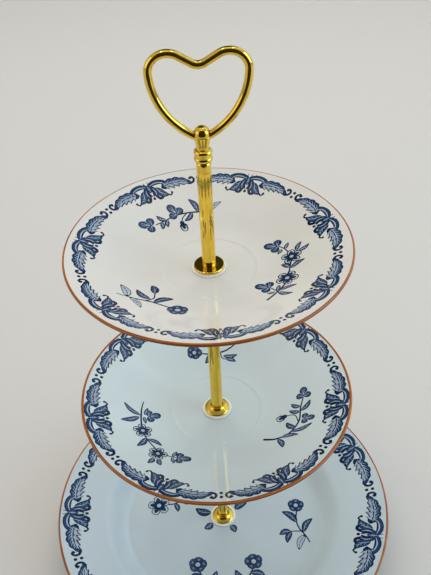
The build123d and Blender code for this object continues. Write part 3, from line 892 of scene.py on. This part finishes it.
def bottom_sprigs():
    d = Drawing()
    # Left: one large open flower with its leaves.
    d.flower((-48.6, 12.0), 8.2, 0.5)
    d.stem([(-41.0, 12.4), (-36.0, 13.0), (-31.0, 16.4), (-27.0, 21.0)], [0.35, 0.42, 0.4, 0.3], 14)
    d.leaf((-36.4, 13.0), (-34.0, 5.6), 4.0, 0.1)
    d.leaf((-31.4, 16.0), (-23.6, 12.8), 3.8, -0.1)
    d.leaf((-29.6, 18.0), (-33.8, 26.0), 3.8, 0.1)
    # Round the flange: a wreath of plain leaves.
    for angle, near, far, width in (
        (160, 9.5, 22.0, 6.4), (214, 10.0, 17.6, 5.4), (300, 10.0, 16.8, 5.2),
        (28, 10.5, 21.0, 5.8), (95, 12.0, 22.0, 5.6),
    ):
        way = np.array([math.cos(math.radians(angle)), math.sin(math.radians(angle))])
        d.leaf(near * way, far * way, width, 0.12, 3)
    # Right: an upright flower on a leafy stem.
    stalk = [(55.6, 0.6), (54.4, -6.4), (55.6, -13.6), (59.8, -20.6), (62.0, -25.8)]
    d.stem(stalk, [0.4, 0.42, 0.42, 0.4, 0.34], 22)
    d.round_flower((55.6, 5.4), 6.4, 0.2)
    d.leaf((54.6, -9.0), (44.4, 0.6), 5.6, -0.12, 3)
    d.leaf((58.4, -17.6), (66.6, -6.6), 4.8, 0.12, 3)
    d.stem([(57.4, -16.6), (50.0, -16.4), (46.8, -17.4)], [0.36, 0.3, 0.26], 10)
    d.leaf((49.4, -16.4), (40.6, -18.6), 4.6, -0.12)
    d.leaf((49.8, -16.8), (45.6, -25.6), 4.4, -0.1)
    d.leaf((59.4, -19.8), (53.4, -31.6), 5.0, -0.1, 3, open_form=True)
    # Front: a spray that spreads from two flowers.
    for side in (-1, 1):
        half = Drawing()
        half.round_flower((20.0, -38.6), 6.8, 0.5)
        half.stem([(19.0, -44.0), (15.6, -49.6), (8.0, -53.6), (0.0, -55.0)], [0.42, 0.46, 0.5, 0.5], 18)
        half.leaf((17.4, -46.8), (27.6, -50.4), 5.0, 0.1, 3)
        half.leaf((12.4, -52.0), (6.6, -44.2), 4.6, 0.12, 3)
        half.leaf((8.4, -53.6), (13.2, -61.0), 4.4, -0.12, 3)
        d.add(half.moved(lambda grid, side=side: grid * np.array([side, 1]), flip=side < 0))
    # Back: mostly under the middle plate.
    d.stem([(-14.0, 44.0), (-4.0, 49.4), (10.0, 50.4), (24.0, 46.0)], [0.4, 0.5, 0.5, 0.36], 22)
    d.flower((-19.0, 41.0), 7.6, 0.2)
    d.trefoil((26.0, 45.4), (1.0, -0.3), 8.0)
    d.leaf((-4.0, 49.2), (-10.0, 57.6), 5.0, 0.1, 3)
    d.leaf((8.0, 50.2), (4.0, 40.6), 5.0, 0.1, 3)
    d.leaf((12.0, 50.0), (21.6, 57.0), 5.0, -0.1, 3)
    return d


LAYER_OBJECTS = {
    "lines": (("ink", "line"), INK),
    "wash": (("wash",), WASH),
    "tint": (("tint", "eye"), TINT),
}


def lay_on_plate(plate, drawing):
    """Turns the strokes into thin closed skins on the plate's upper face, one object for each colour."""
    for colour, (layers, material) in LAYER_OBJECTS.items():
        vertices, faces, start = [], [], 0
        for k, (layer, grid) in enumerate(drawing.strokes):
            if layer not in layers:
                continue
            x, y = grid[..., 0], grid[..., 1]
            r, angle = np.hypot(x, y), np.arctan2(y, x)
            ground = plate.top(r) - plate.sag(r, angle)
            lift = LIFT[layer] + STAGGER * (k % STAGGER_STEPS)
            upper = np.stack([x, y, ground + lift], axis=-1).reshape(-1, 3)
            lower = np.stack([x, y, ground - SKIN_DEPTH], axis=-1).reshape(-1, 3)
            vertices += [upper, lower]
            rows, columns = grid.shape[:2]
            count = rows * columns
            index = np.arange(start, start + count).reshape(rows, columns)
            corners = [index[:-1, :-1], index[:-1, 1:], index[1:, 1:], index[1:, :-1]]
            quads = np.stack(corners, axis=-1).reshape(-1, 4)
            faces += quads.tolist()
            faces += (quads[:, ::-1] + count).tolist()
            edge = np.concatenate([index[:, 0], index[-1, 1:], index[-2::-1, -1], index[0, -2:0:-1]])
            after = np.roll(edge, -1)
            faces += np.stack([edge, after, after + count, edge + count], axis=-1).tolist()
            start += 2 * count
        piece = mesh_object(f"{plate.node}_{colour}", np.vstack(vertices), faces, 40)
        dress(piece, material, plate.node, "cobalt_decoration")


# ================================================================ spindle
def rounded(points, radius, steps=4):
    """A closed outline with its convex and concave corners rounded where they are sharp."""
    points = [np.asarray(p, float) for p in points]
    out = []
    for before, here, after in zip(points[-1:] + points[:-1], points, points[1:] + points[:1]):
        a, b = before - here, after - here
        la, lb = np.linalg.norm(a), np.linalg.norm(b)
        turn = math.acos(np.clip(-(a @ b) / (la * lb), -1, 1))
        if turn < 0.35 or here[0] < 1e-6:
            out.append(here)
            continue
        cut = min(radius * math.tan(turn / 2), 0.45 * la, 0.45 * lb)
        start, end = here + a / la * cut, here + b / lb * cut
        for t in np.linspace(0, 1, steps + 1):
            out.append((1 - t) ** 2 * start + 2 * t * (1 - t) * here + t**2 * end)
    return np.array(out)


ROD_RADIUS = 3.7
ROD_BORE = 2.9
STUD_RADIUS = 2.0
BORE_RADIUS = STUD_RADIUS + 0.1
COLLAR_RADIUS = ROD_RADIUS + 0.02
WASHER_HOLE = 2.2
SPIGOT = (3.75, 2.8)


def make_rod(node, body):
    """A tube with eased ends, in short bands that let it shade evenly."""
    base, top, _ = extent(node)
    outline = [(ROD_BORE, base), (ROD_RADIUS, base), (ROD_RADIUS, top), (ROD_BORE, top)]
    corners = rounded(outline, 0.25)
    levels = np.linspace(base + 1, top - 1, 24)
    outer = [(ROD_RADIUS, z) for z in levels]
    at = max(k for k, p in enumerate(corners) if p[0] > ROD_RADIUS - 0.01 and p[1] < levels[0])
    profile = np.vstack([corners[: at + 1], outer, corners[at + 1 :]])
    dress(revolve(node + "_drawn", profile, 96), GILT, body, "gilt_brass", node)


def make_trumpet(node, body):
    """Flange with a small step at its edge and a concave flare up to the rod."""
    base, top, wide = extent(node)
    step, neck = np.array([wide - 0.5, base + 1.15]), np.array([4.15, top])
    flare = arc((0, 0), 1, 228, 186, 14)
    flare = step + (flare - flare[0]) / (flare[-1] - flare[0]) * (neck - step)
    outline = [(BORE_RADIUS, base), (wide - 0.25, base), (wide, base + 0.25), (wide, base + 0.7)]
    outline += [(wide - 0.18, base + 0.95), *flare]
    outline += [(COLLAR_RADIUS, top), (COLLAR_RADIUS, top - 1), (BORE_RADIUS, top - 1)]
    piece = revolve(node + "_turned", outline, smooth_angle=30)
    dress(piece, GILT_TURNED, body, "gilt_brass", node)


def make_disc(node, body):
    """Flat disc flange with a rounded edge and a faint dish."""
    base, top, wide = extent(node)
    outline = [(BORE_RADIUS, base), (wide - 0.3, base)]
    outline += [*arc((wide - 0.75, top - 0.8), 0.75, -40, 90, 8)]
    outline += [(6.4, top - 0.1), (4.9, top - 0.12), (4.4, top - 0.04), (COLLAR_RADIUS, top)]
    outline += [(COLLAR_RADIUS, base + 0.6), (BORE_RADIUS, base + 0.6)]
    piece = revolve(node + "_turned", outline, smooth_angle=30)
    dress(piece, GILT_TURNED, body, "gilt_brass", node)


def make_washer(node, body, spigot=None):
    """Moulded washer with rounded edges; spigot is the radius and length of the collar below it."""
    base, top, wide = extent(node)
    outline = [(WASHER_HOLE, base)]
    if spigot:
        radius, length = spigot
        outline.append((radius, base))
        base += length
        outline.append((radius, base))
    outline += [(wide, base), (wide, top), (WASHER_HOLE, top)]
    piece = revolve(node + "_moulded", rounded(outline, 0.3, 5), smooth_angle=30)
    dress(piece, NYLON, body, "white_plastic", node)


def make_metal_washer():
    base, top, wide = extent("base_metal_washer")
    outline = [(WASHER_HOLE, base), (wide, base), (wide, top), (WASHER_HOLE, top)]
    piece = revolve("base_metal_washer_stamped", rounded(outline, 0.18), 96, smooth_angle=30)
    dress(piece, ZINC, "lower_spindle", "zinc_steel", "base_metal_washer")


THREAD_PITCH = 0.7
THREAD_DEPTH = 0.38
THREAD_FADE = 0.5
CHAMFER = 0.5
STUD_SHANK = 9.0
RECESS_ARM, RECESS_ARM_BLUR = 0.62, 0.22
RECESS_REACH, RECESS_REACH_BLUR = 2.25, 0.3
RECESS_DEPTH = 0.85


def threaded(name, sections, thread_from, thread_to):
    """A turned pin whose stretch between two heights carries a real helical thread.

    sections are (radius, height) pairs from the lower end up, the end points on the axis left out.
    """
    segments, fine = 48, THREAD_PITCH / 10
    rows = []
    for (r0, z0), (r1, z1) in zip(sections, sections[1:]):
        steps = max(1, int(abs(z1 - z0) / fine)) if thread_from - 0.01 <= min(z0, z1) < thread_to else 1
        rows += [(r0 + (r1 - r0) * k / steps, z0 + (z1 - z0) * k / steps) for k in range(steps)]
    rows.append(sections[-1])
    vertices = []
    for r, z in rows:
        for k in range(segments):
            angle = 2 * math.pi * k / segments
            cut = 0.0
            if thread_from <= z <= thread_to:
                phase = (z / THREAD_PITCH - angle / (2 * math.pi)) % 1.0
                fade = min(1.0, (z - thread_from) / THREAD_FADE, (thread_to - z) / THREAD_FADE)
                cut = THREAD_DEPTH * (0.5 - 0.5 * math.cos(2 * math.pi * phase)) ** 0.8 * fade
            vertices.append(((r - cut) * math.cos(angle), (r - cut) * math.sin(angle), z))
    faces = tube_faces(len(rows), segments)
    for ring in (0, len(rows) - 1):
        faces += fan_faces(len(vertices), ring * segments, segments)
        vertices.append((0, 0, rows[ring][1]))
    return mesh_object(name, vertices, faces, 60)


def make_stud(node, body):
    """Threaded below, with a plain shank as wide as the rod's bore above."""
    base, top, _ = extent(node)
    shank_from = top - STUD_SHANK
    sections = [(STUD_RADIUS - CHAMFER, base), (STUD_RADIUS, base + CHAMFER), (STUD_RADIUS, shank_from)]
    sections += [(ROD_BORE, shank_from + 0.02), (ROD_BORE, top)]
    piece = threaded(node + "_threaded", sections, base + 0.1, shank_from - 0.4)
    dress(piece, ZINC, body, "zinc_steel", node)


def make_base_screw():
    """Pan-head screw with a cross recess, seen from under the plate."""
    bottom, tip, head_radius = extent("base_screw")
    rim = extent("base_metal_washer")[0]
    sections = [(STUD_RADIUS, rim - 0.6), (STUD_RADIUS, tip - CHAMFER), (STUD_RADIUS - CHAMFER, tip)]
    shank = threaded("base_screw_thread", sections, rim + 1.0, tip - 0.1)
    dress(shank, ZINC, "lower_spindle", "zinc_steel")
    segments, rings = 96, 26
    vertices = []

    def underside(x, y):
        """Height of the domed head with the cross recess cut into it."""
        r = math.hypot(x, y)
        dome = bottom + (rim - bottom - 0.25) * (r / head_radius) ** 3
        arm, other = max(abs(x), abs(y)), min(abs(x), abs(y))
        across = smoothstep((RECESS_ARM - other) / RECESS_ARM_BLUR)
        inside = across * smoothstep((RECESS_REACH - arm) / RECESS_REACH_BLUR)
        return dome + RECESS_DEPTH * float(inside) * (1 - 0.25 * r / 2.2)

    turns = [2 * math.pi * k / segments for k in range(segments)]
    for i in range(1, rings + 1):
        r = head_radius * (i / rings)
        for angle in turns:
            x, y = r * math.cos(angle), r * math.sin(angle)
            vertices.append((x, y, underside(x, y)))
    vertices += [(head_radius * math.cos(angle), head_radius * math.sin(angle), rim) for angle in turns]
    centre = len(vertices)
    vertices += [(0, 0, underside(0, 0)), (0, 0, rim)]
    faces = tube_faces(rings + 1, segments)
    faces += fan_faces(centre, 0, segments) + fan_faces(centre + 1, rings * segments, segments)
    head = mesh_object("base_screw_head", vertices, faces, 50)
    dress(head, ZINC, "lower_spindle", "zinc_steel", "base_screw")


# ================================================================ handle
WIRE_RADIUS = 1.99
HEART_START_Z = 13.0
HEART_START_ANGLE = 24.0
HEART_SIDE_RADIUS = 38.1
HEART_SIDE_END = 88.0
HEART_LOBE_RADIUS = 9.0
HEART_LOBE_END = 211.0
HEART_NOTCH_RADIUS = 6.0
WIRE_END_GAP = 0.4
ROD_TOP = extent("upper_rod")[1]


def heart_line():
    """Right half of the wire's centre line as (x, z) points: side, lobe, straight slope and notch."""
    points = []
    place = np.array([0.0, ROD_TOP + HEART_START_Z])
    heading = math.radians(HEART_START_ANGLE)
    place = place + WIRE_END_GAP * np.array([math.cos(heading), math.sin(heading)])

    def bend(radius, degrees, steps):
        """Walks along an arc that turns by so many degrees, left if positive."""
        nonlocal place, heading
        side = 1 if degrees > 0 else -1
        centre = place + side * radius * np.array([-math.sin(heading), math.cos(heading)])
        for _ in range(steps):
            points.append(place)
            heading += math.radians(degrees) / steps
            place = centre + side * radius * np.array([math.sin(heading), -math.cos(heading)])

    bend(HEART_SIDE_RADIUS, HEART_SIDE_END - HEART_START_ANGLE, 40)
    bend(HEART_LOBE_RADIUS, HEART_LOBE_END - HEART_SIDE_END, 40)
    notch = HEART_LOBE_END - 180
    reach = place[0] - HEART_NOTCH_RADIUS * math.sin(math.radians(notch))
    run = reach / math.cos(math.radians(notch))
    way = np.array([math.cos(heading), math.sin(heading)])
    points += [place + way * run * k / 8 for k in range(8)]
    place = place + way * run
    bend(HEART_NOTCH_RADIUS, -notch, 14)
    points.append(place)
    return np.array(points)


def make_heart():
    """Round wire swept along the heart, with flat ends that the ferrule hides."""
    right = heart_line()
    line = np.vstack([right, (right * np.array([-1, 1]))[-2::-1]])
    along = np.gradient(line, axis=0)
    along /= np.linalg.norm(along, axis=1)[:, None]
    segments = 40
    vertices = []
    turns = np.arange(segments) * 2 * math.pi / segments
    for (x, z), (tx, tz) in zip(line, along):
        for turn in turns:
            reach = WIRE_RADIUS * math.cos(turn)
            vertices.append((x - tz * reach, WIRE_RADIUS * math.sin(turn), z + tx * reach))
    faces = tube_faces(len(line), segments)
    faces += [tuple(range(segments)), tuple(range(len(vertices) - segments, len(vertices)))]
    piece = mesh_object("heart_loop_wire", vertices, faces, 50)
    dress(piece, GILT_WIRE, "handle", "gilt_brass", "heart_loop")


def make_ferrule():
    """Ferrule with two beads, a waist, a flared barrel and a domed cap; heights are above the rod's top."""
    plug = ROD_BORE - 0.02
    outline = [(0, -7.9), (plug, -7.9), (plug, 0.02), (ROD_RADIUS - 0.1, 0.02), (ROD_RADIUS - 0.35, 0.5)]
    for bead in (2.6, 6.2):
        outline += [*arc((3.2, bead), 1.45, -62, 62, 12)]
    outline += [(3.2, 7.75), (3.1, 8.2), (3.25, 9.4), (3.5, 11.2), (3.8, 13.2), (4.08, 14.7)]
    outline += [*arc((4.05, 14.85), 0.22, -10, 110, 5), (3.78, 15.08), (3.72, 15.2)]
    outline += [*arc((0, 15.85), 4.05, -9, 90, 18)[:-1], (0, 19.9)]
    piece = revolve("handle_ferrule_turned", np.add(outline, (0, ROD_TOP)), 96, smooth_angle=30)
    dress(piece, GILT_TURNED, "handle", "gilt_brass", "handle_ferrule")


# ================================================================ stage
FLOOR_REACH = 12.0
SKY_STRENGTH = 0.76
FLAG_REACH, FLAG_NEAR, FLAG_LOW, FLAG_HIGH = 0.6, -0.55, 0.005, 1.35
STAND_MIDDLE = (0, 0, 0.2)
CAMERA_PLACE = (0, -0.3174, 0.4990)
CAMERA_LENS, CAMERA_SENSOR = 46.33, 36
CAMERA_PITCH, CAMERA_YAW, CAMERA_ROLL = 0.6982, 0.0089, -0.0498


def in_scene(name, data):
    """An object of this name with this data, put into the scene."""
    holder = bpy.data.objects.new(name, data)
    bpy.context.scene.collection.objects.link(holder)
    return holder


def stage_panel(name, corners, material_name, colour, roughness):
    """One flat quad that belongs to the stage."""
    mesh = bpy.data.meshes.new(name)
    mesh.from_pydata(corners, [], [(0, 1, 2, 3)])
    paint = Finish(material_name)
    paint.set(Base_Color=colour, Roughness=roughness)
    mesh.materials.append(paint.material)
    panel = in_scene(name, mesh)
    return panel


def softbox(name, place, width, height, power, colour):
    """A rectangular lamp that faces the middle of the stand."""
    light = bpy.data.lights.new(name, "AREA")
    light.shape = "RECTANGLE"
    light.size, light.size_y = width, height
    light.energy = power
    light.color = colour
    holder = in_scene(name, light)
    holder.location = place
    holder.rotation_euler = (Vector(STAND_MIDDLE) - Vector(place)).to_track_quat("-Z", "Y").to_euler()
    return holder


def make_floor_and_lamps():
    """Plain pale floor, soft lamps, and a black card in front that only reflections see."""
    x = y = FLOOR_REACH
    corners = [(-x, -y, 0), (x, -y, 0), (x, y, 0), (-x, y, 0)]
    stage_panel("floor", corners, "pale_floor", (0.57, 0.56, 0.545), 0.6)
    overhead = softbox("overhead", (0.0, 1.1, 1.2), 1.6, 0.9, 10, (1.0, 0.95, 0.84))
    overhead.visible_glossy = False
    softbox("left_fill", (-1.5, -0.3, 0.75), 1.0, 1.1, 2.5, (1.0, 0.93, 0.84))
    softbox("right_window", (1.5, -0.3, 0.75), 1.0, 1.1, 10, (0.74, 0.88, 1.0))
    for x in (-0.4, 0.4):
        softbox("ceiling_spot", (x, 0.1, 1.6), 0.14, 0.14, 0.8, (1.0, 0.97, 0.90))
    x, y, low, high = FLAG_REACH, FLAG_NEAR, FLAG_LOW, FLAG_HIGH
    corners = [(-x, y, low), (x, y, low), (x, y, high), (-x, y, high)]
    flag = stage_panel("flag", corners, "black_card", (0.02, 0.02, 0.02), 0.9)
    flag.visible_camera = flag.visible_diffuse = flag.visible_shadow = False


def make_world():
    """Pale sky, warm at the left and blue at the right.

    Reflections alone also see a dark wall behind and a window's glow at the upper right.
    """
    world = bpy.data.worlds.new("studio")
    sky = Nodes(world, "Generated")
    in_reflections = sky.new("LightPath").outputs["Is Glossy Ray"]

    def towards(*way):
        inputs = {0: sky.place, 1: way}
        return sky.new("VectorMath", inputs, operation="DOT_PRODUCT").outputs["Value"]

    heights = ((0.0, 0.80), (0.3, 0.74), (0.6, 0.66), (0.82, 0.85), (1.0, 1.5))
    shades = sky.ramp(towards(0, 0.25, 0.968), *heights)
    wall = sky.ramp(towards(0, 0.72, 0.694), (0.78, 1.0), (0.92, 0.06))
    shades = sky.mix(1.0, shades, sky.mix(in_reflections, (1, 1, 1), wall), "MULTIPLY")
    tints = ((0.0, (1.0, 0.95, 0.86)), (0.5, (1.0, 1.0, 0.98)), (1.0, (0.82, 0.93, 1.0)))
    from_left = sky.math("ADD", towards(0.5, 0, 0), 0.5)
    shades = sky.mix(1.0, shades, sky.ramp(from_left, *tints), "MULTIPLY")
    glow = sky.ramp(towards(0.66, 0.50, 0.56), (0.80, 0.0), (0.96, (0.45, 0.62, 0.85)))
    shades = sky.mix(1.0, shades, sky.mix(in_reflections, (0, 0, 0), glow), "ADD")
    background = sky.tree.nodes["Background"]
    sky.feed(shades, background.inputs["Color"])
    sky.feed(SKY_STRENGTH, background.inputs["Strength"])
    bpy.context.scene.world = world
    bpy.context.scene.view_settings.view_transform = "Standard"


def make_camera():
    """Camera at the photograph's angle, which leans a little."""
    pitch, yaw, roll = CAMERA_PITCH, CAMERA_YAW, CAMERA_ROLL
    ahead = Vector((math.sin(yaw) * math.cos(pitch), math.cos(yaw) * math.cos(pitch), -math.sin(pitch)))
    right = Vector((math.cos(yaw), -math.sin(yaw), 0))
    up = right.cross(ahead)
    x_axis = right * math.cos(roll) + up * math.sin(roll)
    y_axis = up * math.cos(roll) - right * math.sin(roll)
    data = bpy.data.cameras.new("camera")
    data.lens, data.sensor_width = CAMERA_LENS, CAMERA_SENSOR
    camera = in_scene("camera", data)
    turn = Matrix((x_axis, y_axis, -ahead)).transposed().to_4x4()
    camera.matrix_world = Matrix.Translation(CAMERA_PLACE) @ turn
    bpy.context.scene.camera = camera


# ================================================================ build
make_floor_and_lamps()
make_world()
make_camera()
for seed, (plate, painted) in enumerate(((TOP, 0.95), (MIDDLE, 1.7), (BOTTOM, 1.4))):
    make_plate(plate)
    make_rim(plate, RIM_SEED + seed, painted)
for plate, repeats, dots_at, depth_scale, edge_share, sprigs in (
    (TOP, 7, -9.5, 1.0, 0.94, top_sprigs),
    (MIDDLE, 7, 12.6, 1.15, 0.972, middle_sprigs),
    (BOTTOM, 9, 1.4, 1.42, 0.965, bottom_sprigs),
):
    lay_on_plate(plate, border(plate, repeats, dots_at, depth_scale, edge_share).add(sprigs()))

make_rod("upper_rod", "handle")
make_rod("middle_rod", "middle_spindle")
make_rod("lower_rod", "lower_spindle")
make_disc("upper_rod_flange", "handle")
make_trumpet("middle_rod_flange", "middle_spindle")
make_trumpet("lower_rod_flange", "lower_spindle")
make_stud("upper_rod_stud", "handle")
make_stud("middle_rod_stud", "middle_spindle")
make_washer("top_upper_washer", "top_washer", SPIGOT)
make_washer("middle_upper_washer", "middle_washer", SPIGOT)
make_washer("bottom_upper_washer", "lower_spindle", SPIGOT)
make_washer("top_lower_washer", "middle_spindle")
make_washer("middle_lower_washer", "lower_spindle")
make_washer("bottom_lower_washer", "bottom_plate")
make_metal_washer()
make_base_screw()
make_heart()
make_ferrule()
for node in ("middle_rod_insert", "lower_rod_top_insert", "lower_rod_bottom_insert"):
    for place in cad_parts[node].material_slots:
        place.material = ZINC
